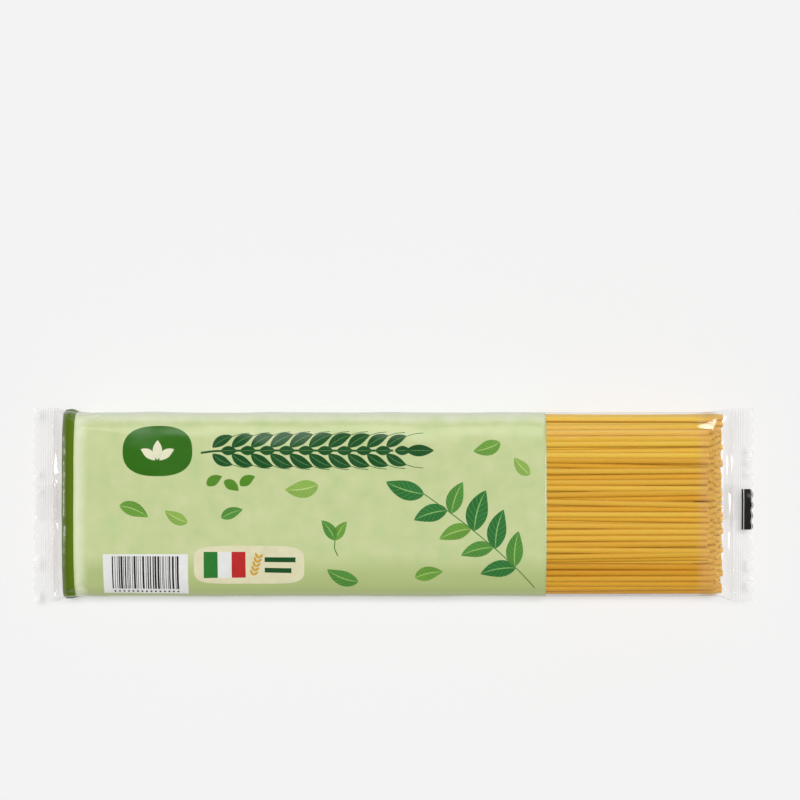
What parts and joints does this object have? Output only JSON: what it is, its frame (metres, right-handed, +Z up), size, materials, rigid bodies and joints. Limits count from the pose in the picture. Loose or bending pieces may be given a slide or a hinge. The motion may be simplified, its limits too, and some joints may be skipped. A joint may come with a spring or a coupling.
{
  "type": "pasta packet",
  "caption": "Long flow-wrapped packet of spaghetti lying flat, with a printed film, a clear window over the strands and crimped seals at both ends.",
  "frame": {"origin": "on the table, under the middle of the pack's box", "axes": "+X along the pack from the printed end to the clear end, +Y across it, +Z up out of the printed face"},
  "size_m": [0.2836, 0.0776, 0.026],
  "materials": {
    "printed_film": "satin pale green print on film, with a dark green band at the end",
    "clear_film": "clear glossy film, whitish where it is crimped",
    "pasta": "dry durum pasta, smooth and slightly translucent, golden yellow"
  },
  "bodies": {
    "root": {"printed_wrapper": "printed_film", "spaghetti": "pasta", "seal_left": "clear_film", "seal_right": "clear_film", "back_seam": "printed_film"}
  },
  "joints": []
}
